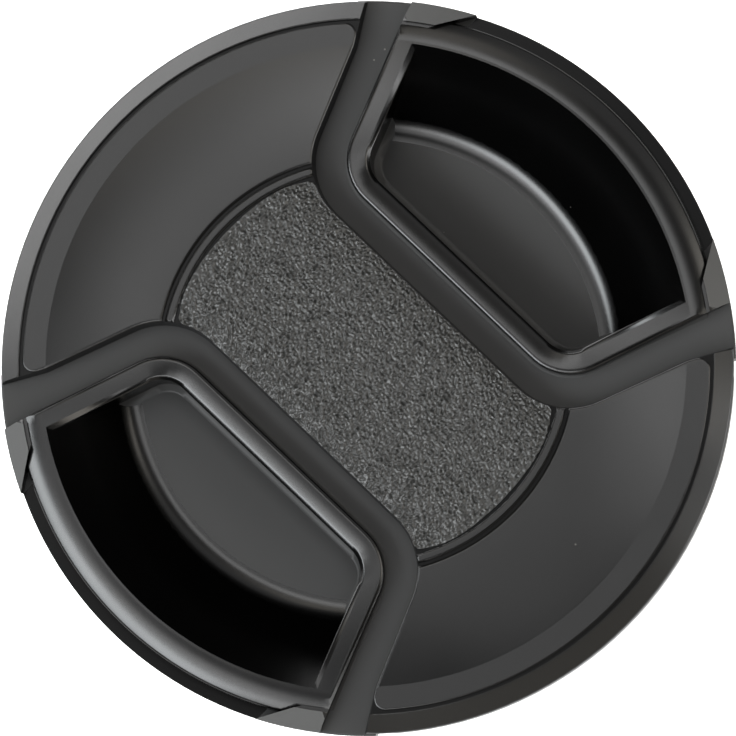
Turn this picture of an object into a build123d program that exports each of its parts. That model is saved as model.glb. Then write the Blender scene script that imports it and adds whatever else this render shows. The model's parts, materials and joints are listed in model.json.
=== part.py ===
from build123d import *
from math import atan2, cos, hypot, radians, sin, sqrt
import os

# A clip-on lens cap that is pinched from the front: two spring-loaded sliders with D-shaped
# finger wells run between a rear housing, which enters the lens's filter thread, and a front
# cover. Pinching the wells together draws the sliders' teeth out of the thread.
# Millimetres. Z is the cap's axis with the front face up and the rear face on Z = 0.
# X is the direction of the pinch.

# The lens's filter thread and the cap's outside
thread_diameter = 58.0
thread_pitch = 0.75
thread_depth_share = 0.5413     # depth of a metric internal thread, in pitches
flange_overhang = 1.25          # cap radius past the thread's nominal radius
spigot_clearance = 0.4          # spigot to the thread's crests

# Heights
base_thickness = 1.2
spigot_height = 3.2
flange_thickness = 1.0
band_level = 6.5                # top of the flange that slides under the cover
band_thickness = 0.9
cover_thickness = 1.8
crown_height = 0.36             # rise of the front's centre over its shoulder
groove_depth = 0.45
rim_height = 2.0                # finger well's rim over the band
floor_thickness = 1.1
running_gap = 0.3               # between pieces that slide past each other
base_edge = 0.4                 # cut off the rear face's edge

# The front cover's face
bevel_width = 1.75
bevel_drop = 1.1
bevel_edge = 0.2
groove_width = 0.28
shoulder_width = 2.1
shoulder_drop = 0.12
centre_radius = 16.03           # groove round the grained centre
strip_width = 1.02              # from that groove to the groove of the side panels
panel_corner = 0.9
centre_corner = 0.6
pad_edge = 0.22
skirt_wall = 1.55

# The sliders in plan
pinch_travel = 2.2
rim_chord = 9.83                # straight side of a well's rim, from the cap's centre
rim_corner = 4.5
rim_splay = 20.2                # sides of the rim, from the pinch axis
rim_end_angle = 36.65           # where the sides of the rim meet the cap's outside
rim_width = 1.9
rim_edge = 0.4
band_width = 2.55               # visible width of the sliding flange along the straight side
band_corner = 6.05
band_splay = 21.5
band_end_angle = 42.6
flare_inset = 3.8               # from the cap's outside to where the band's edge flares
flare_end_angle = 43.9
flare_blend = 2.5
band_underlap = 0.7             # how far the flange reaches under the cover
foot_cut = 0.3
foot_taper = 45.0

# The sliders in section, from the outside in
slider_proud = 0.15             # slider past the cover's outside at rest
ledge_level = 5.6
arc_inset = 3.33                # inner edge of the outer rim
arc_width = 2.3
arc_drop = 0.8
arc_land = 0.2                  # flat top between the ramp and the outer rim's slope
arc_lip = 0.2
arc_wall_draft = 0.15
ramp_run = 6.6
ramp_foot_cut = 0.22
floor_cove = 0.7
ramp_wall = 1.2
notch_reach = 13.76             # half width of the notch in the outside, near its edge
notch_slope = 30.5              # ends of the notch, from the pinch axis
notch_inset = 3.48

# Retaining teeth
tooth_bite = 0.2                # tooth past the thread's nominal radius at rest
tooth_count = 2
tooth_half_angle = 21.0
tooth_depth = 0.45
tooth_tip = 0.16

# Springs, guides and pegs
spring_offset = 4.0
spring_radius = 1.8             # outside of the coil
wire_radius = 0.2
spring_turns = 6
wire_sides = 6                  # the wire is a prism, because it is hidden
spring_end_gap = 0.05
spring_peg_clearance = 0.3
spring_peg_length = 2.0
arm_width = 2.2
arm_tip_gap = 0.4
rib_thickness = 0.8
post_radius = 1.6
post_reach = 19.0
post_top = 6.0
peg_radius = 0.8
peg_length = 2.0
peg_clearance = 0.05

# Room past the cap for cutting outlines and solids, and the tolerance for picking edges
cutter_margin = 9.0
pick_tolerance = 0.01

# Derived sizes
thread_radius = thread_diameter / 2
cap_radius = thread_radius + flange_overhang
spigot_radius = thread_radius - thread_depth_share * thread_pitch - spigot_clearance
floor_bottom = base_thickness + running_gap
floor_top = floor_bottom + floor_thickness
rim_top = band_level + rim_height
cover_underside = band_level + running_gap
cover_top = cover_underside + cover_thickness
crown_top = cover_top + crown_height
flange_top = spigot_height + flange_thickness
groove_radius = cap_radius - bevel_width
shoulder_radius = groove_radius - shoulder_width
ring_inner = groove_radius + groove_width / 2
panel_outer = groove_radius - groove_width / 2
shoulder_low = cover_top - shoulder_drop
panel_inner = centre_radius + strip_width
arc_radius = cap_radius - arc_inset
arc_outer = arc_radius + arc_width
ramp_foot = arc_radius - ramp_run
skirt_inner = cap_radius - skirt_wall
slider_outer = cap_radius + slider_proud
slider_shoulder = spigot_height + running_gap
slider_spigot = spigot_radius - running_gap
plan_reach = slider_outer + cutter_margin
tall = crown_top + cutter_margin
spring_level = (floor_bottom + band_level - band_thickness) / 2


def crossing(p, p_angle, q, q_angle):
    """Where the line through p meets the line through q, each at its own angle."""
    px, py = cos(p_angle), sin(p_angle)
    qx, qy = cos(q_angle), sin(q_angle)
    along = ((q[0] - p[0]) * qy - (q[1] - p[1]) * qx) / (px * qy - py * qx)
    return p[0] + along * px, p[1] + along * py


def on_cap(angle):
    """Point on the cap's outside at an angle from the pinch axis."""
    return cap_radius * cos(radians(angle)), cap_radius * sin(radians(angle))


def moved(p, angle, grow):
    """Point on the line that lies grow outside the line through p at this angle."""
    return p[0] - grow * sin(angle), p[1] + grow * cos(angle)


def closed_face(points, sizes, corner=fillet):
    """Face with the given corners, each rounded or cut off by its own size."""
    face = make_face(Polyline(*points, close=True))
    for point, size in zip(points, sizes):
        if size > 0:
            face = corner(face.vertices().sort_by_distance(point)[0], size)
    return face


def mirrored(points):
    """The points of a half outline, joined to their mirror images across the pinch axis."""
    return [(x, -y) for x, y in points] + [(x, y) for x, y in reversed(points)]


def rim_plan(grow=0.0):
    """Outline of a finger well's rim, open towards the outside. grow moves every edge out."""
    side = radians(rim_splay)
    start = moved(on_cap(rim_end_angle), side, grow)
    corner = crossing(start, side, (rim_chord - grow, 0), radians(90))
    far = crossing(start, side, (plan_reach, 0), radians(90))
    radius = rim_corner + grow
    return closed_face(mirrored([corner, far]), [radius, 0, 0, radius])


def band_plan(grow=0.0):
    """Outline of the band beside the rim, which is also the edge of the front cover."""
    side = radians(band_splay)
    start = on_cap(band_end_angle)
    inward = start[0] * cos(side) + start[1] * sin(side)
    flare_radius = cap_radius - flare_inset
    back = inward - sqrt(inward ** 2 - cap_radius ** 2 + flare_radius ** 2)
    bend = (start[0] - back * cos(side), start[1] - back * sin(side))
    end = on_cap(flare_end_angle)
    flare = atan2(end[1] - bend[1], end[0] - bend[0])
    side_point = moved(bend, side, grow)
    flare_point = moved(bend, flare, grow)
    corner = crossing(side_point, side, (rim_chord - band_width - grow, 0), radians(90))
    elbow = crossing(side_point, side, flare_point, flare)
    far = crossing(flare_point, flare, (plan_reach, 0), radians(90))
    radius = band_corner + grow
    bend_radius = flare_blend - grow
    return closed_face(mirrored([corner, elbow, far]), [radius, bend_radius, 0, 0, bend_radius, radius])


def slab(plan, low, high):
    """Plan outline raised between two levels."""
    return extrude(Pos(0, 0, low) * plan, amount=high - low)


def both_sides(shape):
    """A shape on the +X side together with its half turn about the cap's axis."""
    return [shape, Rot(0, 0, 180) * shape]


def turned(points, cuts=()):
    """Section of radius and height points, its corners cut off, turned about the cap's axis."""
    return revolve(Plane.XZ * closed_face(points, cuts, chamfer), Axis.Z)


def crown(drop, outer):
    """Front face, flat in the centre with sloping sides, lowered by drop, out to a radius."""
    slope = crown_height / (shoulder_radius - panel_inner)
    return turned(
        [
            (0, cover_underside),
            (0, crown_top - drop),
            (panel_inner, crown_top - drop),
            (outer, crown_top - drop - slope * (outer - panel_inner)),
            (outer, cover_underside),
        ]
    )


def shoulder_cut(drop):
    """What is cut off the front outside its shoulder, lowered by drop."""
    slope = shoulder_drop / (panel_outer - shoulder_radius)
    inner = shoulder_radius - cutter_margin
    outer = panel_outer + cutter_margin
    level = cover_top - drop
    top = level + slope * cutter_margin
    return turned([(inner, top), (outer, level - slope * (outer - shoulder_radius)), (outer, top)])


def rear_housing():
    """Base disc, spigot and flange, with guides for the sliders' arms and the springs."""
    disc = turned(
        [(0, 0), (spigot_radius, 0), (spigot_radius, base_thickness), (0, base_thickness)],
        [0, base_edge, 0, 0],
    )
    wall_inner = skirt_inner - skirt_wall
    wall = turned(
        [
            (wall_inner, base_edge),
            (spigot_radius, base_edge),
            (spigot_radius, spigot_height),
            (cap_radius - bevel_edge, spigot_height),
            (cap_radius - bevel_edge, flange_top),
            (skirt_inner - peg_clearance, flange_top),
            (skirt_inner - peg_clearance, flange_top + flange_thickness),
            (wall_inner, flange_top + flange_thickness),
        ]
    )
    swept = Pos(-pinch_travel, 0, 0) * band_plan(band_underlap + running_gap)
    wall -= both_sides(slab(swept, base_thickness, tall))
    body = disc + wall

    rib_length = 2 * (rim_chord - pinch_travel - 2 * running_gap)
    inner_rib = spring_offset - spring_radius - running_gap - rib_thickness / 2
    middle_rib = spring_offset + spring_radius + running_gap + rib_thickness / 2
    outer_rib = middle_rib + rib_thickness + arm_width + 2 * running_gap
    rib = extrude(Rectangle(rib_length, rib_thickness), amount=spring_level - base_thickness)
    for place in (inner_rib, middle_rib, outer_rib):
        for side in (-1, 1):
            body += Pos(0, side * place, base_thickness) * rib

    for place in (-post_reach, 0, post_reach):
        post = Cylinder(post_radius, post_top, align=(Align.CENTER, Align.CENTER, Align.MIN))
        hole = Cylinder(peg_radius + peg_clearance, peg_length + running_gap,
                        align=(Align.CENTER, Align.CENTER, Align.MAX))
        body += Pos(0, place, 0) * post
        body -= Pos(0, place, post_top) * hole
    return body


def outer_rounded(plan, radius):
    """Plan with its four corners furthest from the cap's axis rounded."""
    corners = plan.vertices().sort_by(lambda v: hypot(v.X, v.Y))[-4:]
    return fillet(corners, radius)


def panel_plans():
    """Plan faces of the raised panels: the grained centre, two strips and two side panels."""
    half_groove = groove_width / 2
    wells = both_sides(band_plan())
    centre = Circle(centre_radius - half_groove) - wells
    strips = Circle(panel_inner - half_groove) - Circle(centre_radius + half_groove) - wells
    sides = Circle(panel_outer) - Circle(panel_inner + half_groove) - wells
    centre = outer_rounded(centre, centre_corner)
    sides = outer_rounded(sides, panel_corner)
    return [*centre.faces(), *strips.faces(), *sides.faces()]


def edge_cut(panel, size):
    """Raised panel with the edges between its front and its upright sides cut off."""
    rim_edges = []
    for wall in panel.faces():
        if abs(wall.normal_at().Z) < pick_tolerance:
            rim_edges += [e for e in wall.edges() if e.center().Z > shoulder_low - groove_depth]
    return chamfer([e for e in rim_edges if abs((e @ 0).Z - (e @ 1).Z) < groove_depth], size)


def front_cover():
    """Hourglass cover with raised panels, a bevelled ring and the skirt that stands on the flange."""
    plan = both_sides(slab(band_plan(), 0, tall))
    ring = turned(
        [
            (ring_inner, cover_underside),
            (cap_radius, cover_underside),
            (cap_radius, shoulder_low - bevel_drop),
            (ring_inner, shoulder_low),
        ],
        [0, 0, bevel_edge, bevel_edge / 2],
    )
    body = crown(groove_depth, ring_inner) - shoulder_cut(groove_depth) + ring - plan

    raised = crown(0, panel_outer)
    shoulder = shoulder_cut(0)
    for plan_face in panel_plans():
        body += edge_cut(raised & slab(plan_face, cover_underside, tall), pad_edge) - shoulder

    swept = Pos(-pinch_travel, 0, 0) * band_plan(band_underlap + running_gap)
    skirt = turned(
        [
            (skirt_inner, flange_top),
            (cap_radius, flange_top),
            (cap_radius, cover_underside),
            (skirt_inner, cover_underside),
        ]
    )
    body += skirt - both_sides(slab(swept, 0, tall))

    boss_height = cover_underside - post_top
    for place in (-post_reach, 0, post_reach):
        boss = Cylinder(post_radius, boss_height, align=(Align.CENTER, Align.CENTER, Align.MIN))
        peg = Cylinder(peg_radius, peg_length, align=(Align.CENTER, Align.CENTER, Align.MAX))
        body += Pos(0, place, post_top) * (boss + peg)
    return body


def outer_rim_cut(notched):
    """What is cut off the top of a slider outside its ramp, in the notch or beside it."""
    slope = arc_drop / arc_width
    start = arc_radius + arc_land / 2
    far = slider_outer + cutter_margin
    inner = [(start - cutter_margin, rim_top + slope * cutter_margin)]
    if notched:
        profile = [
            (arc_outer - arc_lip, rim_top - slope * (arc_outer - arc_lip - start)),
            (arc_outer, rim_top - slope * (arc_outer - start) - arc_lip),
            (arc_outer + arc_wall_draft, ledge_level),
            (far, ledge_level),
        ]
    else:
        bevel = bevel_drop / (cap_radius - ring_inner)
        profile = [
            (panel_outer, rim_top - slope * (panel_outer - start)),
            (panel_outer, shoulder_low - groove_depth),
            (ring_inner, shoulder_low - groove_depth),
            (ring_inner, shoulder_low),
            (far, shoulder_low - bevel * (far - ring_inner)),
        ]
    top = rim_top + slope * cutter_margin
    return turned(inner + profile + [(far, top)])


def notch_plan():
    """Plan of the notch that a finger finds at the outside, between the ends of the bevel."""
    slope = radians(notch_slope)
    start = (cap_radius - notch_inset, notch_reach)
    near = crossing(start, -slope, (0, 0), radians(90))
    far = crossing(start, -slope, (plan_reach, 0), radians(90))
    return closed_face(mirrored([near, far]), [0, 0, 0, 0])


def slider_teeth():
    """Ridges that catch in the filter thread, on the part of the slider that enters it."""
    tip = thread_radius + tooth_bite
    root = tip - tooth_depth
    profile = [(slider_spigot - tooth_depth, floor_bottom), (root, floor_bottom)]
    for k in range(tooth_count):
        middle = floor_bottom + (k + 0.5) * thread_pitch
        profile += [(tip, middle - tooth_tip / 2), (tip, middle + tooth_tip / 2)]
        profile += [(root, floor_bottom + (k + 1) * thread_pitch)]
    profile += [(slider_spigot - tooth_depth, floor_bottom + tooth_count * thread_pitch)]
    face = Plane.XZ * make_face(Polyline(*profile, close=True))
    return revolve(Rot(0, 0, -tooth_half_angle) * face, Axis.Z, revolution_arc=2 * tooth_half_angle)


def pinch_slider():
    """The +X slider: finger well, sliding flange, outer rim, teeth, guide arms and spring pegs."""
    core = slab(rim_plan(-rim_width / 2), floor_bottom, tall)

    # Walls of the well along its straight side and its splayed sides
    walls = slab(rim_plan() - rim_plan(-rim_width), floor_bottom, rim_top)
    top_edges = walls.faces().sort_by(Axis.Z)[-1].edges()
    walls = chamfer(top_edges.filter_by(lambda e: e.center().X < plan_reach - rim_edge), rim_edge)

    # Floor with a cove along the walls, and the ramp up to the outer rim
    well = slab(rim_plan(-rim_width), floor_top, rim_top)
    well_edges = well.faces().sort_by(Axis.Z)[0].edges()
    well = chamfer(well_edges.filter_by(lambda e: e.center().X < plan_reach - rim_edge), floor_cove)
    floor = slab(rim_plan(-rim_width / 2), floor_bottom, floor_top + floor_cove) - well
    ramp_top = arc_radius - arc_land / 2
    ramp = turned(
        [
            (0, floor_bottom),
            (0, floor_top),
            (ramp_foot, floor_top),
            (ramp_top, rim_top),
            (plan_reach, rim_top),
            (plan_reach, floor_bottom),
        ],
        [0, 0, ramp_foot_cut, 0, 0, 0],
    )
    body = walls + floor + (ramp & core)
    body &= turned(
        [
            (0, floor_bottom),
            (slider_spigot, floor_bottom),
            (slider_spigot, slider_shoulder),
            (slider_outer, slider_shoulder),
            (slider_outer, tall),
            (0, tall),
        ]
    )

    # Outer rim: a slope with a notch between the ends of the bevel
    notch = slab(notch_plan(), 0, tall)
    body -= outer_rim_cut(True) & notch
    body -= outer_rim_cut(False) - notch

    # Flange that slides under the cover, and the ends of the band at the outside
    band_bottom = band_level - band_thickness
    flange = slab(band_plan(band_underlap), band_bottom, band_level) & slab(Circle(panel_outer), 0, tall)
    ends = turned(
        [
            (panel_outer - band_thickness, band_bottom),
            (skirt_inner, band_bottom),
            (skirt_inner, slider_shoulder),
            (slider_outer, slider_shoulder),
            (slider_outer, band_level),
            (panel_outer - band_thickness, band_level),
        ],
        [0, 0, 0, 0, bevel_edge, 0],
    ) & slab(band_plan(band_underlap), 0, tall)
    foot = extrude(Pos(0, 0, band_level) * rim_plan(foot_cut), foot_cut, taper=foot_taper)
    body += (flange + ends + (foot & slab(Circle(panel_outer), 0, tall))) - core

    # Hollow under the ramp
    pitch = atan2(rim_top - floor_top, ramp_top - ramp_foot)
    hollow_start = (ramp_foot + ramp_wall * sin(pitch), floor_top - ramp_wall * cos(pitch))
    hollow_foot = crossing(hollow_start, pitch, (0, floor_bottom), 0)
    hollow_outer = slider_spigot - ramp_wall
    hollow_top = crossing(hollow_start, pitch, (hollow_outer, 0), radians(90))
    hollow = turned([hollow_foot, (hollow_outer, floor_bottom), hollow_top])
    body -= hollow & slab(rim_plan(-rim_width), 0, tall)

    # Arms that run beside the springs, and pegs that hold the springs' ends
    arm_place = spring_offset + spring_radius + 2 * running_gap + rib_thickness + arm_width / 2
    arm_tip = pinch_travel + arm_tip_gap
    arm = Pos((arm_tip + rim_chord + rim_width / 2) / 2, 0, floor_bottom) * extrude(
        Rectangle(rim_chord + rim_width / 2 - arm_tip, arm_width), amount=floor_thickness
    )
    peg = Cylinder(spring_radius - 2 * wire_radius - spring_peg_clearance, spring_peg_length + rim_width / 2,
                   rotation=(0, 90, 0), align=(Align.CENTER, Align.CENTER, Align.MIN))
    for side in (-1, 1):
        body += Pos(0, side * arm_place, 0) * arm
        body += Pos(rim_chord - spring_peg_length, side * spring_offset, spring_level) * peg
    return body + slider_teeth()


def return_spring():
    """Compression spring between the two sliders, along X."""
    length = 2 * (rim_chord - spring_end_gap - wire_radius)
    coil = Helix(length / spring_turns, length, spring_radius - wire_radius)
    wire = Plane(coil @ 0, z_dir=coil % 0) * RegularPolygon(wire_radius, wire_sides)
    spring = sweep(wire, path=coil, is_frenet=True)
    return Pos(-length / 2, 0, spring_level) * (Rot(0, 90, 0) * spring)


os.makedirs("parts", exist_ok=True)
slider = pinch_slider()
spring = return_spring()
pieces = {
    "rear_housing": rear_housing(),
    "front_cover": front_cover(),
    "pinch_slider_right": slider,
    "pinch_slider_left": Rot(0, 0, 180) * slider,
    "return_spring_near": Pos(0, -spring_offset, 0) * spring,
    "return_spring_far": Pos(0, spring_offset, 0) * spring,
}
for name, piece in pieces.items():
    export_step(piece, f"parts/{name}.step")
    print(name, len(piece.solids()), "solid", round(piece.volume, 1), "mm3")
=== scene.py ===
# %% [markdown]
# A lens cap that is pinched from the front, dressed for a product picture.
# The solids of the cap come in as a fixed frame: a rear housing, a front cover, two pinch sliders
# and two return springs. Their shapes and places are settled there. What this lesson adds is what
# the eye reads as black moulded plastic: round edges, a fine satin skin, a leather-like grain on
# the centre panel, wire springs, white paper and the light of a studio.

# %% Load the frame
import json
import math

import bpy
from mathutils import Matrix, Vector

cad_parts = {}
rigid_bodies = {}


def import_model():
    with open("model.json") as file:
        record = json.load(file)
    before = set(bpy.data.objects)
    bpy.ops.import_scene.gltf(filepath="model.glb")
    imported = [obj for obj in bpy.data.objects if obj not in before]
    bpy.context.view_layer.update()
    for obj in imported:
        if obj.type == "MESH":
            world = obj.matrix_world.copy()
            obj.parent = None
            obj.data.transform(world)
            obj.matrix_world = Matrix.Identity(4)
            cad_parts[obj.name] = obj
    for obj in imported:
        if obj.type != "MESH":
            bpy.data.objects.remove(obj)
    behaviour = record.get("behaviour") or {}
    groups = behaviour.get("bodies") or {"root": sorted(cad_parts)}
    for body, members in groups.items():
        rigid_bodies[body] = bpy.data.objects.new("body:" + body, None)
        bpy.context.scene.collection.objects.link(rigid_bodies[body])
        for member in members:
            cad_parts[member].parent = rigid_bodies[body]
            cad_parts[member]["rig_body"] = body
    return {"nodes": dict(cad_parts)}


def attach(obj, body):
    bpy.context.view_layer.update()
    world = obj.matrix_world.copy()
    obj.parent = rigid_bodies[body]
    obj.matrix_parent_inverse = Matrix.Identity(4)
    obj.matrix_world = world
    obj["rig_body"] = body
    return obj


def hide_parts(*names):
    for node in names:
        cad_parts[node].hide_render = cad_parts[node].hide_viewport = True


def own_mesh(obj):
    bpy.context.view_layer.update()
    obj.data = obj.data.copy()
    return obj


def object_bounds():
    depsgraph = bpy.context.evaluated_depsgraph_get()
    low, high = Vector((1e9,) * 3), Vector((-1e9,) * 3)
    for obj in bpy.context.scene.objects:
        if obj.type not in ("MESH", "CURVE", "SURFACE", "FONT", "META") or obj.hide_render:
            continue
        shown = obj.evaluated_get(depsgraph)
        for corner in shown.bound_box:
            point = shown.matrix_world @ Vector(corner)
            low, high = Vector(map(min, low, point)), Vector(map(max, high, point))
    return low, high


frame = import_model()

cad_low, cad_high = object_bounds()
MM = 0.001
print("cap box, mm:", [round(x / MM, 2) for x in (*cad_low, *cad_high)])

# %% Helpers
def activate(piece):
    """Make one object the only one that operators act on."""
    bpy.ops.object.select_all(action="DESELECT")
    piece.select_set(True)
    bpy.context.view_layer.objects.active = piece


def edit_mode(piece):
    """Open a piece for editing with all its points selected."""
    activate(piece)
    bpy.ops.object.mode_set(mode="EDIT")
    bpy.ops.mesh.select_all(action="SELECT")


def object_mode():
    bpy.ops.object.mode_set(mode="OBJECT")


def face_out(piece, crease):
    """Turn a closed piece's faces outwards, and shade it smooth up to an angle between faces."""
    edit_mode(piece)
    bpy.ops.mesh.normals_make_consistent(inside=False)
    object_mode()
    bpy.ops.object.shade_smooth_by_angle(angle=crease)


def dress(piece, body, slot, *nodes):
    """Tie a finished piece to the body it moves with and hide the solids it stands for. slot, the
    name of its finish, is not used.
    """
    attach(piece, body)
    if nodes:
        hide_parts(*nodes)
    return piece


# The start-up file's own cube, lamp and camera would show in the picture.
for leftover in ("Cube", "Light", "Camera"):
    if leftover in bpy.data.objects:
        bpy.data.objects.remove(bpy.data.objects[leftover])

# %% [markdown]
# The picture looks down on the cap, a few degrees from its axis, and the cap is turned so that one
# finger well is at the upper right. A long lens far away keeps the rim round. The camera is placed
# by a vector from the cap to the lens and one that points up in the picture, so each can be read
# and changed by itself, where three rotation angles could not.

# %% Camera
VIEW_DISTANCE = 500 * MM
VIEW_TILT = math.radians(6.0)           # towards -Y, the lower right of the picture
PINCH_ANGLE = math.radians(46.2)        # of the pinch axis, above the picture's horizontal
FRAME_WIDTH = 60.87 * MM                # of the picture, at the level of the cap's outline
OUTLINE_LEVEL = 5 * MM
SENSOR_WIDTH = 36.0
CLIP_RATIO = 100                        # things this much nearer or farther aren't drawn

aim = Vector((0, 0, OUTLINE_LEVEL))
towards_camera = Vector((0, -math.sin(VIEW_TILT), math.cos(VIEW_TILT)))
picture_up = Vector((math.sin(PINCH_ANGLE), math.cos(PINCH_ANGLE), 0))
picture_right = picture_up.cross(towards_camera).normalized()
picture_up = towards_camera.cross(picture_right)

bpy.ops.object.camera_add()
camera = bpy.context.object
camera.name = "camera"
camera.data.sensor_width = SENSOR_WIDTH
camera.data.lens = SENSOR_WIDTH * VIEW_DISTANCE / FRAME_WIDTH
turn = Matrix((picture_right, picture_up, towards_camera)).transposed()
camera.matrix_world = Matrix.Translation(aim + VIEW_DISTANCE * towards_camera) @ turn.to_4x4()
camera.data.clip_start = VIEW_DISTANCE / CLIP_RATIO
camera.data.clip_end = VIEW_DISTANCE * CLIP_RATIO
bpy.context.scene.camera = camera
print("lens, mm:", round(camera.data.lens, 1))

# %% [markdown]
# Moulded edges are never sharp: each has a small round that catches a thin line of light. The solids
# have flat cuts there. A shell is a copy of a solid whose cuts borrow the normals of the faces on
# both sides, so that the light runs round the edge with no more faces. The cuts are found by their
# shape: narrow strips that slope. Each face of a solid comes in as an island of points of its own,
# which makes its width easy to work out before the islands are merged.
# Large mouldings aren't quite flat either. The front's side panels and the rims swell, the bands
# beside the wells lean inwards and the wells' floors outwards, and both sliders tip a little on
# their guides. The solids leave this out, because it is a fraction of a millimetre, but on satin
# plastic it decides which lamp a face mirrors. So the shells' normals carry it.

# %% Edges, level faces and grooves
MERGE = 0.001 * MM                      # points nearer than this are one
STRIP_WIDTH = 1.05 * MM                 # narrower sloping faces are edges
STRIP_SLOPES = 0.25, 0.985              # least and greatest upward part of their normals
BORROW_UPWARD = 0.2                     # least upward part of a normal that an edge borrows,
BORROW_ANGLE = math.radians(75)         # and its greatest angle to the edge's own
LEVEL = 0.995                           # least upward part of a level face's normal
GROOVE_LEVEL = 0.97                     # the same for the bottom of a groove,
GROOVE_WIDTH = 0.5 * MM                 # which is narrower than this
GROOVE_TOP = 8.55 * MM                  # and lies below this level

# %% Swell and lean of the wide faces
DOME_START = 17.05 * MM                 # the front is level inside this radius
DOME_END = 26.4 * MM                    # and level again outside this one
DOME_SLOPE = math.radians(8.0)          # where it ends
FLOOR_TOP = 4 * MM                      # the wells' floors lie below this level
BAND_TOP = 7 * MM                       # and the bands below this one
BAND_LEAN = math.radians(3.0)           # of the bands, towards the cap's axis
FLOOR_TIP = math.radians(1.6)           # of both sliders' floors, towards +X
# Leans of the floors towards the axis, at two distances from it. Those below 0 lean away.
FLOOR_LEANS = math.radians(-7), math.radians(-2)
FLOOR_ENDS = 12.43 * MM, 20.1 * MM
# Outward leans of the wells' rims, beside edges that face the axis and edges that face away.
RIM_LEANS = math.radians(6), math.radians(18)
# Outward leans of the outer rims, at two radii, and the upward parts of their own normals.
ARC_LEANS = math.radians(3), math.radians(25)
ARC_EDGES = 27.02 * MM, 29.02 * MM
ARC_SLOPES = 0.93, 0.96


def outward_lean(place, angle):
    """Upward normal that leans away from the cap's axis."""
    out = Vector((place.x, place.y, 0)).normalized() * math.sin(angle)
    return Vector((out.x, out.y, math.cos(angle)))


def inward_lean(place, angle):
    """Upward normal that leans along the pinch axis, towards the cap's centre."""
    return Vector((-math.copysign(math.sin(angle), place.x), 0, math.cos(angle)))


def shown_normal(place, normal, inner_radius, slider, well):
    """Normal of a wide face as the light shows it. well is the lean of a rim there."""
    radius = math.hypot(place.x, place.y)
    on_arc = slider and inner_radius > ARC_EDGES[0] - MERGE
    if on_arc and ARC_SLOPES[0] < normal.z < ARC_SLOPES[1]:
        share = (radius - ARC_EDGES[0]) / (ARC_EDGES[1] - ARC_EDGES[0])
        return outward_lean(place, ARC_LEANS[0] + min(1, share) * (ARC_LEANS[1] - ARC_LEANS[0]))
    if normal.z < LEVEL:
        return normal
    if slider and place.z < FLOOR_TOP:
        share = (abs(place.x) - FLOOR_ENDS[0]) / (FLOOR_ENDS[1] - FLOOR_ENDS[0])
        lean = FLOOR_LEANS[0] + share * (FLOOR_LEANS[1] - FLOOR_LEANS[0])
        return inward_lean(place, lean - math.copysign(FLOOR_TIP, place.x))
    if slider and place.z < BAND_TOP:
        return inward_lean(place, BAND_LEAN)
    if inner_radius > DOME_END - MERGE:
        return Vector((0, 0, 1))
    if place.z > BAND_TOP:
        share = (radius - DOME_START) / (DOME_END - DOME_START)
        lean = outward_lean(place, DOME_SLOPE * max(0, min(1, share)))
        return (lean + well).normalized()
    return normal


# %% Faces of a solid
def islands(mesh):
    """For each polygon, the label of the solid's face that it belongs to."""
    parent = list(range(len(mesh.vertices)))

    def root(k):
        while parent[k] != k:
            parent[k] = parent[parent[k]]
            k = parent[k]
        return k

    for face in mesh.polygons:
        first = root(face.vertices[0])
        for k in face.vertices[1:]:
            parent[root(k)] = first
    return [root(face.vertices[0]) for face in mesh.polygons]


def island_widths(mesh, labels):
    """Mean width of each of the solid's faces: twice its area over the length of its border."""
    area = {}
    users = {}
    for face, label in zip(mesh.polygons, labels):
        area[label] = area.get(label, 0) + face.area
        for key in face.edge_keys:
            users.setdefault(key, []).append(label)
    border = {}
    for (a, b), owners in users.items():
        if len(owners) == 1:
            length = (mesh.vertices[a].co - mesh.vertices[b].co).length
            border[owners[0]] = border.get(owners[0], 0) + length
    return {label: 2 * area[label] / border[label] for label in area}


def island_radii(mesh, labels):
    """Least distance of each of the solid's faces from the cap's axis."""
    radii = {}
    for face, label in zip(mesh.polygons, labels):
        nearest = min(mesh.vertices[k].co.xy.length for k in face.vertices)
        radii[label] = min(nearest, radii.get(label, nearest))
    return radii


# %% Normals with round edges
def spot(mesh, corner):
    """A corner's place as a key that is the same for all faces that meet there."""
    place = mesh.vertices[mesh.loops[corner].vertex_index].co
    return tuple(round(x / MERGE) for x in place)


def rim_leans(mesh, labels, strips):
    """For each place on an edge of a slider's rims, the sideways lean of the rim there."""
    leans = {}
    for face, label in zip(mesh.polygons, labels):
        if label in strips and face.center.z > BAND_TOP:
            sideways = Vector((face.normal.x, face.normal.y, 0)).normalized()
            faces_away = face.normal.x * face.center.x > 0
            lean = math.tan(RIM_LEANS[1]) if faces_away else -math.tan(RIM_LEANS[0])
            for k in face.loop_indices:
                leans[spot(mesh, k)] = sideways * lean * sideways.x ** 2
    return leans


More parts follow.
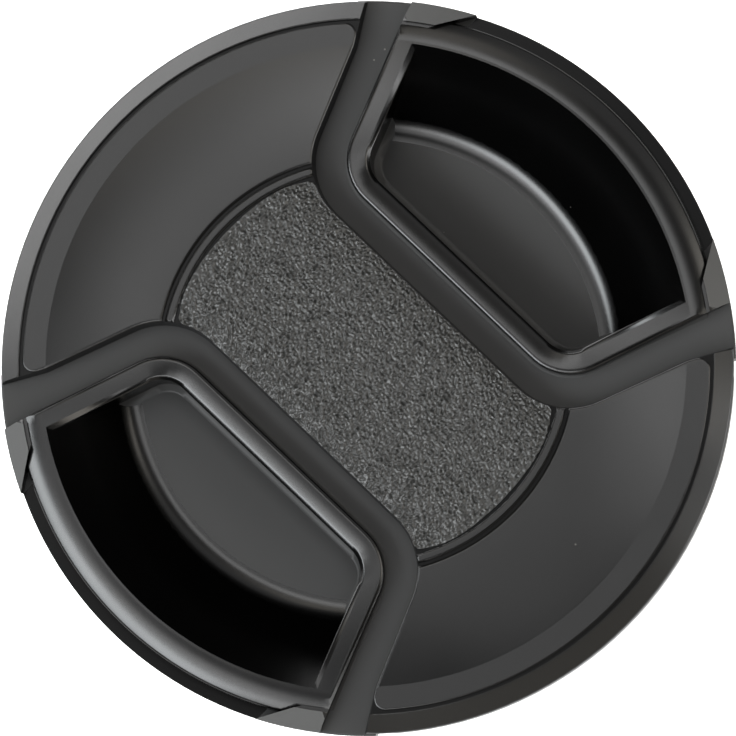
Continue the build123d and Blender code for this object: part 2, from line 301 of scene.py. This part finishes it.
def soft_normals(mesh, labels, width, slider):
    """A normal for each corner of a solid's mesh, with its narrow sloping strips rounded."""
    inner_radius = island_radii(mesh, labels)
    normals = [Vector(corner.vector) for corner in mesh.corner_normals]
    strips = set()
    for face, label in zip(mesh.polygons, labels):
        sloping = STRIP_SLOPES[0] < abs(face.normal.z) < STRIP_SLOPES[1]
        if sloping and width[label] < STRIP_WIDTH:
            strips.add(label)

    wells = rim_leans(mesh, labels, strips) if slider else {}
    meeting = {}
    for face, label in zip(mesh.polygons, labels):
        if label not in strips:
            for k in face.loop_indices:
                place = mesh.vertices[mesh.loops[k].vertex_index].co
                well = wells.get(spot(mesh, k), Vector((0, 0, 0)))
                normals[k] = shown_normal(place, normals[k], inner_radius[label], slider, well)
                meeting.setdefault(spot(mesh, k), []).append((width[label], normals[k]))
    for face, label in zip(mesh.polygons, labels):
        if label in strips:
            for k in face.loop_indices:
                near = [
                    (wide, normal) for wide, normal in meeting.get(spot(mesh, k), [])
                    if normal.z > BORROW_UPWARD and normal.angle(face.normal) < BORROW_ANGLE
                ]
                if near:
                    normals[k] = max(near, key=lambda pair: pair[0])[1]
    return normals, len(strips)


# %% Shells
def shell(node, name, slot, slider=False):
    """A copy of a solid that is shaded with round edges. Bottoms of grooves are marked narrow."""
    source = frame["nodes"][node]
    mesh = source.data.copy()
    labels = islands(mesh)
    width = island_widths(mesh, labels)
    normals, strips = soft_normals(mesh, labels, width, slider)
    # Groove bottoms are marked so that they can get the weakly reflecting finish, painted shade.
    narrow = mesh.attributes.new("narrow", "INT", "FACE")
    for mark, face, label in zip(narrow.data, mesh.polygons, labels):
        low_and_level = face.normal.z > GROOVE_LEVEL and face.center.z < GROOVE_TOP
        mark.value = low_and_level and width[label] < GROOVE_WIDTH
    kept = mesh.attributes.new("soft_normal", "FLOAT_VECTOR", "CORNER")
    for corner, normal in zip(kept.data, normals):
        corner.vector = normal
    piece = bpy.data.objects.new(name, mesh)
    bpy.context.scene.collection.objects.link(piece)
    activate(piece)
    bpy.ops.mesh.customdata_custom_splitnormals_clear()
    edit_mode(piece)
    bpy.ops.mesh.remove_doubles(threshold=MERGE)
    object_mode()
    bpy.ops.object.shade_smooth()
    kept = mesh.attributes["soft_normal"]
    mesh.normals_split_custom_set([corner.vector.copy() for corner in kept.data])
    mesh.attributes.remove(mesh.attributes["soft_normal"])
    mesh.materials.clear()
    print(name, "faces:", len(mesh.polygons), "rounded strips:", strips)
    return dress(piece, source["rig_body"], slot, node)


cover = shell("front_cover", "cover_shell", "cover_plastic")
right = shell("pinch_slider_right", "right_slider_shell", "slider_plastic", slider=True)
left = shell("pinch_slider_left", "left_slider_shell", "slider_plastic", slider=True)
housing = shell("rear_housing", "housing_shell", "housing_plastic")

# %% [markdown]
# A moulding leaves its mould only if its walls slope a little. Seen from straight above, this draft
# is what draws a dark line along the edges of the cover, so its walls over the bands get it: their
# lower edges move outwards by less than the room that a full pinch leaves.

# %% Draft of the cover's walls
COVER_UNDERSIDE = 6.8 * MM
SAME_LEVEL = 0.01 * MM
WALL_TOP = 7.9 * MM                     # walls over the bands reach past this level
UPRIGHT = 0.05                          # greatest upward part of a wall's normal
DRAFT = 0.18 * MM                       # at the lower edge


def draft_walls(piece):
    """Slope the walls that stand over the bands. Returns how many points move."""
    points = piece.data.vertices
    outward = {}
    for face in piece.data.polygons:
        levels = {k: points[k].co.z for k in face.vertices}
        if abs(face.normal.z) < UPRIGHT and max(levels.values()) > WALL_TOP:
            for k, level in levels.items():
                if abs(level - COVER_UNDERSIDE) < SAME_LEVEL:
                    outward[k] = outward.get(k, Vector()) + face.normal
    for k, direction in outward.items():
        points[k].co += DRAFT * direction.normalized()
    return len(outward)


print("drafted points:", draft_walls(cover))

# %% [markdown]
# Each well's floor runs up into the ramp in a wide hollow curve, and this curve is what draws the
# bright line round the right well: part of it always mirrors the lamp on the far side. The solids
# have a small cut there, so the curve is a piece of its own, a section swept round the cap's axis.
# Its ends lie inside the walls of the well.

# %% Hollows at the feet of the ramps
FOOT_RADIUS = 20.32 * MM
FLOOR_LEVEL = 2.6 * MM
RAMP_HEIGHT, RAMP_RUN = 5.9, 6.5        # of the solids' ramps, in mm
RAMP_RISE = math.atan2(RAMP_HEIGHT, RAMP_RUN)
HOLLOW_RADIUS = 2.6 * MM
HOLLOW_STEPS = 16                       # along the curve
HOLLOW_SWEEP = math.radians(81)
SWEEP_STEPS = 72                        # round the cap's axis
HOLLOW_CREASE = math.radians(50)
SUNK = 0.15 * MM                        # depth of the piece's underside in the slider


def foot_hollow(name, body, middle):
    """The curve between a well's floor and its ramp. middle is the direction of the well."""
    centre = FOOT_RADIUS - HOLLOW_RADIUS * math.tan(RAMP_RISE / 2)
    section = []
    for k in range(HOLLOW_STEPS + 1):
        lean = FLOOR_LEANS[1] + (RAMP_RISE - FLOOR_LEANS[1]) * k / HOLLOW_STEPS
        section.append((centre + HOLLOW_RADIUS * math.sin(lean),
                        FLOOR_LEVEL + HOLLOW_RADIUS * (1 - math.cos(lean))))
    section.append((section[-1][0] + SUNK, section[-1][1] - SUNK))
    section.append((FOOT_RADIUS + SUNK, FLOOR_LEVEL - SUNK))
    section.append((section[0][0], FLOOR_LEVEL - SUNK))
    bpy.ops.mesh.primitive_circle_add(vertices=len(section))
    piece = bpy.context.object
    piece.name = name
    start = middle - HOLLOW_SWEEP / 2
    for vertex, (radius, level) in zip(piece.data.vertices, section):
        vertex.co = (radius * math.cos(start), radius * math.sin(start), level)
    sweep = piece.modifiers.new("sweep", "SCREW")
    sweep.axis = "Z"
    sweep.angle = HOLLOW_SWEEP
    sweep.screw_offset = 0
    sweep.steps = sweep.render_steps = SWEEP_STEPS
    bpy.ops.object.modifier_apply(modifier=sweep.name)
    edit_mode(piece)
    bpy.ops.mesh.fill_holes(sides=0)
    object_mode()
    face_out(piece, HOLLOW_CREASE)
    return dress(piece, body, "slider_plastic")


hollows = [
    foot_hollow("right_foot_hollow", "right_slider", 0),
    foot_hollow("left_foot_hollow", "left_slider", math.pi),
]
print("hollow faces:", [len(piece.data.polygons) for piece in hollows])

# %% [markdown]
# The centre panel has a leather-like grain, which the mould gets by etching. On the cap it is real
# relief, about a third of a millimetre from its deepest pits to its highest bumps, of which there
# are two or three to the millimetre. So it is modelled as relief: a fine grid cut to the panel's
# outline and pushed up and down by a cloud texture. The panel of the shell is lowered a little to
# make room, so that the bumps end level with the solid's front. The grid's outline follows the
# panel: an arc at each end, and sides that run straight and then swing out round the corners of
# the two bands.

# %% Outline of the grain
PANEL_TOP = cad_high[2]
GRAIN_RADIUS = 15.86 * MM               # arcs at both ends
GRAIN_HALF = 7.25 * MM                  # straight sides
SWING_START = 10.45 * MM                # where the sides begin to swing out
SWING_END = 14 * MM
SWING_RADIUS = 6.08 * MM
CORNER_PULL = 0.2 * MM                  # by which the corners are drawn in
CORNER_STARTS = 0.94, 0.97              # shares of half the width and length where that begins
END_ROUNDS = 6                          # of closing in on the place of an end


def half_width(y):
    """Half the panel's width at a distance along it."""
    past = max(0, abs(y) - SWING_START)
    return GRAIN_HALF + SWING_RADIUS - math.sqrt(SWING_RADIUS ** 2 - past ** 2)


def panel_end(share):
    """Where the panel ends, at a share of its half width."""
    y = GRAIN_RADIUS
    for _ in range(END_ROUNDS):
        y = math.sqrt(GRAIN_RADIUS ** 2 - (share * half_width(min(y, SWING_END))) ** 2)
    return y


def panel_place(u, v):
    """Place on the panel of a point of a square grid, given by shares of half its sides."""
    y = v * panel_end(u)
    x = u * half_width(y)
    corner = CORNER_PULL
    for share, start in zip((u, v), CORNER_STARTS):
        corner *= max(0, abs(share) - start) / (1 - start)
    return x - math.copysign(corner, u), y - math.copysign(corner, v)


print("panel, mm:", [round(2 * x / MM, 2) for x in (half_width(0), panel_end(0))])

# %% Grid of the grained panel
GRAIN_PITCH = 0.075 * MM                # of the grid that carries the bumps
GRAIN_LEVEL = 0.18 * MM                 # of the middle of the bumps, below the front
GRAIN_DEPTH = 0.37 * MM                 # of the lowered panel
EDGE_DEPTH = 0.15 * MM                  # by which the panel's edge is lowered
PANEL_MARGIN = 0.1 * MM                 # round the grain, where the shell is lowered too
GRAIN_FADE = 0.12 * MM                  # the bumps die away over this width at the border

for vertex in cover.data.vertices:
    on_panel = vertex.co.xy.length < GRAIN_RADIUS + PANEL_MARGIN
    if on_panel and vertex.co.z > PANEL_TOP - GRAIN_DEPTH:
        vertex.co.z -= GRAIN_DEPTH if vertex.co.z > PANEL_TOP - MERGE else EDGE_DEPTH

across = round(2 * GRAIN_HALF / GRAIN_PITCH)
along = round(2 * GRAIN_RADIUS / GRAIN_PITCH)
bpy.ops.mesh.primitive_grid_add(x_subdivisions=across, y_subdivisions=along, size=2)
grain = bpy.context.object
grain.name = "centre_grain"
height = grain.vertex_groups.new(name="height")
for vertex in grain.data.vertices:
    u, v = vertex.co.x, vertex.co.y
    vertex.co = (*panel_place(u, v), PANEL_TOP - GRAIN_LEVEL)
    to_border = min((1 - abs(u)) * GRAIN_HALF, (1 - abs(v)) * GRAIN_RADIUS)
    height.add([vertex.index], min(1, to_border / GRAIN_FADE), "REPLACE")
print("grid points:", len(grain.data.vertices))

# %% Bumps of the grain
BUMPS = (                               # name, size and height of each kind
    ("grain", 0.21 * MM, 0.48 * MM),
    ("wrinkle", 0.5 * MM, 0.04 * MM),
)
PIT_DEPTH = 0.95 * GRAIN_DEPTH
CREASE = math.radians(60)               # sharper edges stay edges

for name, size, strength in BUMPS:
    clouds = bpy.data.textures.new(name, "CLOUDS")
    clouds.noise_basis = "ORIGINAL_PERLIN"
    clouds.noise_scale = size
    clouds.noise_depth = 0
    push = grain.modifiers.new(name, "DISPLACE")
    push.texture = clouds
    push.texture_coords = "LOCAL"
    push.direction = "Z"
    push.vertex_group = "height"
    push.mid_level = 0.5
    push.strength = strength
    activate(grain)
    bpy.ops.object.modifier_apply(modifier=name)

# The highest bumps end level with the solid's front, and the deepest pits above the lowered panel.
for vertex in grain.data.vertices:
    vertex.co.z = min(PANEL_TOP, max(PANEL_TOP - PIT_DEPTH, vertex.co.z))

edit_mode(grain)
bpy.ops.mesh.region_to_loop()
bpy.ops.mesh.extrude_edges_move(TRANSFORM_OT_translate={"value": (0, 0, -GRAIN_DEPTH)})
bpy.ops.mesh.edge_face_add()
object_mode()
face_out(grain, CREASE)
grain.vertex_groups.clear()
dress(grain, "housing", "cover_plastic")
below = PANEL_TOP - max(vertex.co.z for vertex in grain.data.vertices)
print("grain faces:", len(grain.data.polygons), "below the front, mm:", round(below / MM, 3))

# %% [markdown]
# Two coil springs push the sliders apart. Spring wire is drawn and round, and a pinch shortens each
# half of a coil by its own slider's travel. So each coil is made as two halves that meet in the
# middle, each a circle of wire swept by the screw modifier.

# %% Return springs
SPRING_OFFSET = 4 * MM
SPRING_LEVEL = 3.55 * MM
COIL_RADIUS = 1.6 * MM                  # to the middle of the wire
WIRE_RADIUS = 0.2 * MM
WIRE_SIDES = 10
HALF_LENGTH = 9.5 * MM
HALF_TURNS = 3
TURN_STEPS = 28


def half_spring(name, node, side, offset):
    """One half of a coil, from the middle of the cap to a slider."""
    upright = (math.radians(90), 0, 0)
    bpy.ops.mesh.primitive_circle_add(vertices=WIRE_SIDES, radius=WIRE_RADIUS, rotation=upright)
    piece = bpy.context.object
    piece.name = name
    bpy.ops.object.transform_apply(location=False, rotation=True, scale=False)
    edit_mode(piece)
    bpy.ops.transform.translate(value=(0, 0, COIL_RADIUS))
    object_mode()
    coil = piece.modifiers.new("coil", "SCREW")
    coil.axis = "X"
    coil.screw_offset = side * HALF_LENGTH / HALF_TURNS
    coil.iterations = HALF_TURNS
    coil.steps = coil.render_steps = TURN_STEPS
    bpy.ops.object.modifier_apply(modifier=coil.name)
    edit_mode(piece)
    bpy.ops.mesh.fill_holes(sides=0)
    bpy.ops.mesh.select_all(action="SELECT")
    bpy.ops.transform.translate(value=(0, offset, SPRING_LEVEL))
    object_mode()
    face_out(piece, CREASE)
    dress(piece, "housing", "spring_steel", node)
    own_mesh(piece)
    return piece


springs = []
for place, node, offset in (
    ("near", "return_spring_near", -SPRING_OFFSET),
    ("far", "return_spring_far", SPRING_OFFSET),
):
    springs.append(half_spring(f"right_spring_{place}", node, 1, offset))
    springs.append(half_spring(f"left_spring_{place}", node, -1, offset))
print("spring halves:", len(springs), "faces each:", len(springs[0].data.polygons))

# %% [markdown]
# All the plastic is one black resin, so its finishes share two effects, each a node group.
# The skin of a moulding is never even: flow and cooling leave patches that are a little duller, and
# the mould's own surface leaves a fine tooth. The group gives a roughness and a height for bumps.
# Dust settles on black plastic as soon as it is unpacked. The group gives a mask of small specks,
# of which the whole cap gets only a few.

# %% Nodes
def group_socket(group, name, direction, kind="NodeSocketFloat", value=None):
    socket = group.interface.new_socket(name, in_out=direction, socket_type=kind)
    if value is not None:
        socket.default_value = value


def math_node(tree, operation, *values, clamp=False):
    """A math node whose inputs are links or plain values."""
    node = tree.nodes.new("ShaderNodeMath")
    node.operation = operation
    node.use_clamp = clamp
    for socket, value in zip(node.inputs, values):
        if isinstance(value, (int, float)):
            socket.default_value = value
        else:
            tree.links.new(value, socket)
    return node.outputs[0]


def noise_node(tree, vector, scale, detail=2.0):
    node = tree.nodes.new("ShaderNodeTexNoise")
    node.inputs["Scale"].default_value = scale
    node.inputs["Detail"].default_value = detail
    tree.links.new(vector, node.inputs["Vector"])
    return node.outputs["Fac"]


# %% Shared effects
PATCH_SCALE = 180                       # patches to the metre
TOOTH_SCALE = 6500                      # teeth to the metre
DUST_SCALE = 800                        # cells to the metre, each with room for one speck
SPECK_RADIUS = 0.09                     # of the largest speck, as a share of a cell


def skin_group():
    """Moulded skin: uneven gloss and a fine tooth, in metres of object space."""
    group = bpy.data.node_groups.new("moulded_skin", "ShaderNodeTree")
    group_socket(group, "Vector", "INPUT", "NodeSocketVector")
    group_socket(group, "Roughness", "INPUT", value=0.25)
    group_socket(group, "Unevenness", "INPUT", value=0.05)
    group_socket(group, "Roughness", "OUTPUT")
    group_socket(group, "Height", "OUTPUT")
    given = group.nodes.new("NodeGroupInput")
    made = group.nodes.new("NodeGroupOutput")
    patches = noise_node(group, given.outputs["Vector"], PATCH_SCALE)
    patches = math_node(group, "SUBTRACT", patches, 0.5)
    spread = math_node(group, "MULTIPLY", patches, given.outputs["Unevenness"])
    dulled = math_node(group, "ADD", given.outputs["Roughness"], spread)
    tooth = noise_node(group, given.outputs["Vector"], TOOTH_SCALE, detail=1.0)
    group.links.new(dulled, made.inputs["Roughness"])
    group.links.new(tooth, made.inputs["Height"])
    return group


def dust_group():
    """Dust: a mask of small specks, each in a cell of its own, with most cells empty."""
    group = bpy.data.node_groups.new("dust_specks", "ShaderNodeTree")
    group_socket(group, "Vector", "INPUT", "NodeSocketVector")
    group_socket(group, "Amount", "INPUT", value=0.1)
    group_socket(group, "Mask", "OUTPUT")
    given = group.nodes.new("NodeGroupInput")
    made = group.nodes.new("NodeGroupOutput")
    cells = group.nodes.new("ShaderNodeTexVoronoi")
    cells.inputs["Scale"].default_value = DUST_SCALE
    group.links.new(given.outputs["Vector"], cells.inputs["Vector"])
    chance = group.nodes.new("ShaderNodeSeparateColor")
    group.links.new(cells.outputs["Color"], chance.inputs["Color"])
    held = math_node(group, "LESS_THAN", chance.outputs["Red"], given.outputs["Amount"])
    size = math_node(group, "MULTIPLY", chance.outputs["Green"], SPECK_RADIUS)
    small = math_node(group, "LESS_THAN", cells.outputs["Distance"], size)
    group.links.new(math_node(group, "MULTIPLY", held, small), made.inputs["Mask"])
    return group


SKIN = skin_group()
DUST = dust_group()
print("shared effects:", [group.name for group in (SKIN, DUST)])

# %% [markdown]
# Every plastic finish is the same resin from a mould with another surface. What differs is how
# rough the skin is, how high its tooth stands, how much dust lies on it and how strongly it
# mirrors. Two finishes also carry painted light: the weak mirror of the ramps is painted shade, and
# the paler colour of the rims' end bevels is a painted highlight. One function makes them all, so
# that a finish is one line of values. The grained panel is crowned too: its shading rolls off
# towards its long sides. A bump does this, because the relief itself has to end level with the
# solid's front.
# The springs are bare drawn wire, a little mottled.

# %% Plastic and steel
CROWN_POWER = 6                         # keeps the middle of the panel flat
DUST_COLOUR = (0.12, 0.115, 0.105, 1)
MOTTLE_SCALE = 3000                     # patches of the wire to the metre
WIRE_DARK = (0.42, 0.41, 0.40, 1)
WIRE_LIGHT = (0.60, 0.59, 0.57, 1)
WIRE_ROUGHNESS = 0.22                   # where it is smoothest
WIRE_DULLING = 0.2                      # added in the lightest patches


def plastic(name, colour, roughness, tooth, dust, crown=0.0, shine=0.5):
    """Black resin with a moulded skin and a little dust. crown is the drop at the panel's sides."""
    material = bpy.data.materials.new(name)
    material.use_nodes = True
    tree = material.node_tree
    shader = tree.nodes["Principled BSDF"]
    shader.inputs["Specular IOR Level"].default_value = shine
    place = tree.nodes.new("ShaderNodeTexCoord").outputs["Object"]

    skin = tree.nodes.new("ShaderNodeGroup")
    skin.node_tree = SKIN
    skin.inputs["Roughness"].default_value = roughness
    tree.links.new(place, skin.inputs["Vector"])
    tree.links.new(skin.outputs["Roughness"], shader.inputs["Roughness"])
    axes = tree.nodes.new("ShaderNodeSeparateXYZ")
    tree.links.new(place, axes.inputs["Vector"])
    sideways = math_node(tree, "ABSOLUTE", axes.outputs["X"])
    share = math_node(tree, "DIVIDE", sideways, GRAIN_HALF, clamp=True)
    bow = math_node(tree, "MULTIPLY", math_node(tree, "POWER", share, CROWN_POWER), crown)
    teeth = math_node(tree, "MULTIPLY", skin.outputs["Height"], tooth)
    bump = tree.nodes.new("ShaderNodeBump")
    bump.inputs["Distance"].default_value = 1.0
    tree.links.new(math_node(tree, "SUBTRACT", teeth, bow), bump.inputs["Height"])
    tree.links.new(bump.outputs["Normal"], shader.inputs["Normal"])

    specks = tree.nodes.new("ShaderNodeGroup")
    specks.node_tree = DUST
    specks.inputs["Amount"].default_value = dust
    tree.links.new(place, specks.inputs["Vector"])
    mix = tree.nodes.new("ShaderNodeMix")
    mix.data_type = "RGBA"
    mix.inputs["A"].default_value = (*colour, 1)
    mix.inputs["B"].default_value = DUST_COLOUR
    tree.links.new(specks.outputs["Mask"], mix.inputs["Factor"])
    tree.links.new(mix.outputs["Result"], shader.inputs["Base Color"])
    return material


def steel(name):
    """Drawn spring wire, a little mottled."""
    material = bpy.data.materials.new(name)
    material.use_nodes = True
    tree = material.node_tree
    shader = tree.nodes["Principled BSDF"]
    shader.inputs["Metallic"].default_value = 1.0
    place = tree.nodes.new("ShaderNodeTexCoord").outputs["Object"]
    mottle = noise_node(tree, place, MOTTLE_SCALE)
    shade = tree.nodes.new("ShaderNodeValToRGB")
    shade.color_ramp.elements[0].color = WIRE_DARK
    shade.color_ramp.elements[1].color = WIRE_LIGHT
    tree.links.new(mottle, shade.inputs["Fac"])
    tree.links.new(shade.outputs["Color"], shader.inputs["Base Color"])
    rough = math_node(tree, "MULTIPLY_ADD", mottle, WIRE_DULLING, WIRE_ROUGHNESS)
    tree.links.new(rough, shader.inputs["Roughness"])
    return material


# %% Finishes
BLACK = (0.0005, 0.0005, 0.0005)
MATT_BLACK = (0.02, 0.02, 0.02)
GRAINED_BLACK = (0.026, 0.026, 0.025)
# A paler grey for the bevels at the rims' ends: a painted highlight for the light they mirror.
PAINTED_HIGHLIGHT_BLACK = (0.05, 0.05, 0.049)
POLISHED = 0.0006 * MM                  # heights of the tooth that three kinds of mould leave
BLASTED = 0.003 * MM
ETCHED = 0.008 * MM
CROWN = 0.5 * MM

finishes = {
    "cover": plastic("cover_satin", BLACK, 0.25, POLISHED, dust=0.03),
    "slider": plastic("slider_matt", MATT_BLACK, 0.55, POLISHED, dust=0.06, shine=0.4),
    # Weak reflection (shine 0.15): painted shade on the ramps, walls, ledges and groove bottoms.
    "ramp": plastic("ramp_gloss", BLACK, 0.20, POLISHED, dust=0.03, shine=0.15),
    # Paler colour on the rims' end bevels: painted highlight.
    "rubbed": plastic("rubbed_plastic", PAINTED_HIGHLIGHT_BLACK, 0.5, BLASTED, dust=0.03),
    "housing": plastic("housing_matt", BLACK, 0.42, BLASTED, dust=0.02),
    "grain": plastic("grained_plastic", GRAINED_BLACK, 0.33, ETCHED, dust=0.02, crown=CROWN),
    "wire": steel("spring_wire"),
}
print("finishes:", sorted(material.name for material in finishes.values()))

# %% [markdown]
# A slider is matt where it slides and on its well's floor. Its ramp, its walls and the ledge outside
# are smoother and mirror weakly, painted shade that keeps them black, and its rims are worn to the
# cover's satin. The bevels at the rims' ends, which stand proud, are painted pale: a painted
# highlight.
# The cover's walls are as smooth as the ramps and get the same painted shade, and so do the bottoms
# of its grooves. These borders run along edges of the solids, so each face simply gets the finish
# that its place and slope call for.

# %% Finish of each face
COVER_FINISHES = "cover", "ramp"
SLIDER_FINISHES = "slider", "ramp", "cover", "rubbed"
RAMP_STEEPNESS = 0.725, 0.75            # upward parts of the ramps' normals
HORN_STEEPNESS = 0.76, 0.88             # and of the bevels at the ends of the rims,
HORN_RADIUS = 28.6 * MM                 # which lie outside this radius
WALL_STEEPNESS = 0.3                    # steeper faces are walls,
SKIRT_RADIUS = 30 * MM                  # or outside this radius the cap's outside
LEDGE_RADIUS = 29.3 * MM                # ledges below the notches
LEDGE_REACH = 13.8 * MM


def slider_finish(face):
    """Name of the finish of one of a slider's faces."""
    radius = face.center.xy.length
    upward = face.normal.z
    ramp = RAMP_STEEPNESS[0] < upward < RAMP_STEEPNESS[1]
    wall = abs(upward) < WALL_STEEPNESS and radius < SKIRT_RADIUS
    in_notch = radius > LEDGE_RADIUS and abs(face.center.y) < LEDGE_REACH
    ledge = in_notch and face.center.z < BAND_TOP and upward > LEVEL
    # Ramps, walls and ledges get the weakly reflecting finish: painted shade.
    if ramp or wall or ledge:
        return "ramp"
    if face.center.z > BAND_TOP and upward > WALL_STEEPNESS:
        # The proud bevels at the rims' ends get a paler colour, a painted highlight.
        horn = HORN_STEEPNESS[0] < upward < HORN_STEEPNESS[1] and radius > HORN_RADIUS
        return "rubbed" if horn else "cover"
    return "slider"


def cover_finish(face, narrow):
    """Name of the finish of one of the cover's faces. narrow marks the bottom of a groove."""
    inside = face.center.z > COVER_UNDERSIDE and face.center.xy.length < SKIRT_RADIUS
    wall = inside and abs(face.normal.z) < WALL_STEEPNESS
    # Walls and groove bottoms get the weakly reflecting finish: painted shade.
    return "ramp" if wall or narrow else "cover"


for piece, *names in (
    (cover, *COVER_FINISHES),
    (right, *SLIDER_FINISHES),
    (left, *SLIDER_FINISHES),
    (housing, "housing"),
    (grain, "grain"),
    *((hollow, "cover") for hollow in hollows),
    *((spring, "wire") for spring in springs),
):
    piece.data.materials.clear()
    for name in names:
        piece.data.materials.append(finishes[name])

for piece in (right, left):
    for face in piece.data.polygons:
        face.material_index = SLIDER_FINISHES.index(slider_finish(face))
for face, mark in zip(cover.data.polygons, cover.data.attributes["narrow"].data):
    face.material_index = COVER_FINISHES.index(cover_finish(face, mark.value))
for piece in (cover, right, left, housing):
    piece.data.attributes.remove(piece.data.attributes["narrow"])

# The solids that the shells stand for keep a finish of their own kind too.
for node, finish in (
    ("front_cover", "cover"),
    ("pinch_slider_right", "slider"),
    ("pinch_slider_left", "slider"),
    ("rear_housing", "housing"),
    ("return_spring_near", "wire"),
    ("return_spring_far", "wire"),
):
    frame["nodes"][node].material_slots[0].material = finishes[finish]
for piece in (cover, right, left):
    worn = sum(face.material_index > 0 for face in piece.data.polygons)
    print(piece.name, "faces with a finish of their own:", worn)

# %% [markdown]
# Black plastic shows no shading of its own: what is seen on it is the mirror image of the studio.
# Level faces mirror what is overhead, the wells' ramps mirror the far walls, and each bevel mirrors
# its own side of the room. The lamps are soft boxes, each given by the direction in which it stands,
# the angle that it covers and how bright its cloth is. Between them the room is dark, which keeps
# the ramps black.

# %% Lamps
LAMP_DISTANCE = 700 * MM


def softbox(name, zenith, azimuth, across, along, brightness, tint=(1, 1, 1)):
    """A soft box that faces the cap. Angles are in degrees; along is the angle in azimuth."""
    z, a = math.radians(zenith), math.radians(azimuth)
    direction = Vector((math.sin(z) * math.cos(a), math.sin(z) * math.sin(a), math.cos(z)))
    bpy.ops.object.light_add(type="AREA", location=aim + LAMP_DISTANCE * direction)
    lamp = bpy.context.object
    lamp.name = name
    sideways = Vector((-math.sin(a), math.cos(a), 0))
    upwards = direction.cross(sideways)
    turn = Matrix((sideways, upwards, direction)).transposed()
    lamp.matrix_world = Matrix.Translation(lamp.location) @ turn.to_4x4()
    lamp.data.shape = "RECTANGLE"
    lamp.data.size = 2 * LAMP_DISTANCE * math.tan(math.radians(along / 2))
    lamp.data.size_y = 2 * LAMP_DISTANCE * math.tan(math.radians(across / 2))
    lamp.data.energy = brightness * math.pi * lamp.data.size * lamp.data.size_y
    lamp.data.color = tint
    return lamp


COOL = (0.94, 0.98, 1.0)
WARM = (1.0, 0.95, 0.86)
lamps = [
    softbox("overhead_strip", zenith=12, azimuth=0, across=13, along=37, brightness=3.6),
    softbox("ceiling_left", zenith=4, azimuth=180, across=6, along=36, brightness=2.0),
    softbox("ceiling_far", zenith=16, azimuth=100, across=16, along=40, brightness=1.4),
    softbox("high_fill", zenith=32, azimuth=66, across=16, along=44, brightness=1.6, tint=WARM),
    softbox("key_box", zenith=47, azimuth=163, across=18, along=48, brightness=12.0, tint=COOL),
    softbox("key_top", zenith=32, azimuth=178, across=16, along=30, brightness=3.5),
    softbox("key_end", zenith=48, azimuth=216, across=18, along=26, brightness=5.8),
    softbox("right_box", zenith=53, azimuth=322, across=26, along=30, brightness=3.7, tint=WARM),
    softbox("right_wall", zenith=50, azimuth=10, across=30, along=40, brightness=0.55),
    softbox("side_wall", zenith=80, azimuth=86, across=16, along=92, brightness=5.7),
    softbox("low_right", zenith=80, azimuth=300, across=16, along=30, brightness=6.2),
    softbox("low_wall", zenith=72, azimuth=256, across=22, along=74, brightness=0.9, tint=WARM),
]
print("lamps:", [lamp.name for lamp in lamps])

# %% [markdown]
# The cap lies on white paper. Paper that is lit only by these lamps would be grey where it lies far
# from them, and a product picture has it white. So the paper adds light of its own to what the
# camera sees, and only there. It falls short of white by itself, which leaves the cap's shadow on it.

# %% Paper and room
PAPER_WIDTH = 1600 * MM
PAPER_GAP = 0.02 * MM                   # keeps it apart from the cap's rear face
PAPER_SHADES = (0.86, 0.86, 0.86, 1), (0.90, 0.90, 0.90, 1)
PAPER_ROUGHNESS = 0.8
PAPER_GLOW = 0.85                       # of white
FIBRE_SCALE = 900                       # fibres to the metre
ROOM_COLOUR = (0.02, 0.02, 0.02, 1)

bpy.ops.mesh.primitive_plane_add(size=PAPER_WIDTH, location=(0, 0, -PAPER_GAP))
floor = bpy.context.object
floor.name = "paper"
paper = bpy.data.materials.new("white_paper")
paper.use_nodes = True
tree = paper.node_tree
shader = tree.nodes["Principled BSDF"]
place = tree.nodes.new("ShaderNodeTexCoord").outputs["Object"]
shade = tree.nodes.new("ShaderNodeValToRGB")
for element, colour in zip(shade.color_ramp.elements, PAPER_SHADES):
    element.color = colour
tree.links.new(noise_node(tree, place, FIBRE_SCALE), shade.inputs["Fac"])
tree.links.new(shade.outputs["Color"], shader.inputs["Base Color"])
shader.inputs["Roughness"].default_value = PAPER_ROUGHNESS
seen = tree.nodes.new("ShaderNodeLightPath").outputs["Is Camera Ray"]
shader.inputs["Emission Color"].default_value = (1, 1, 1, 1)
tree.links.new(math_node(tree, "MULTIPLY", seen, PAPER_GLOW), shader.inputs["Emission Strength"])
floor.data.materials.append(paper)

world = bpy.data.worlds.new("dark_room")
world.use_nodes = True
world.node_tree.nodes["Background"].inputs["Color"].default_value = ROOM_COLOUR
bpy.context.scene.world = world
bpy.context.scene.view_settings.view_transform = "Standard"
print("paper and room:", paper.name, world.name)
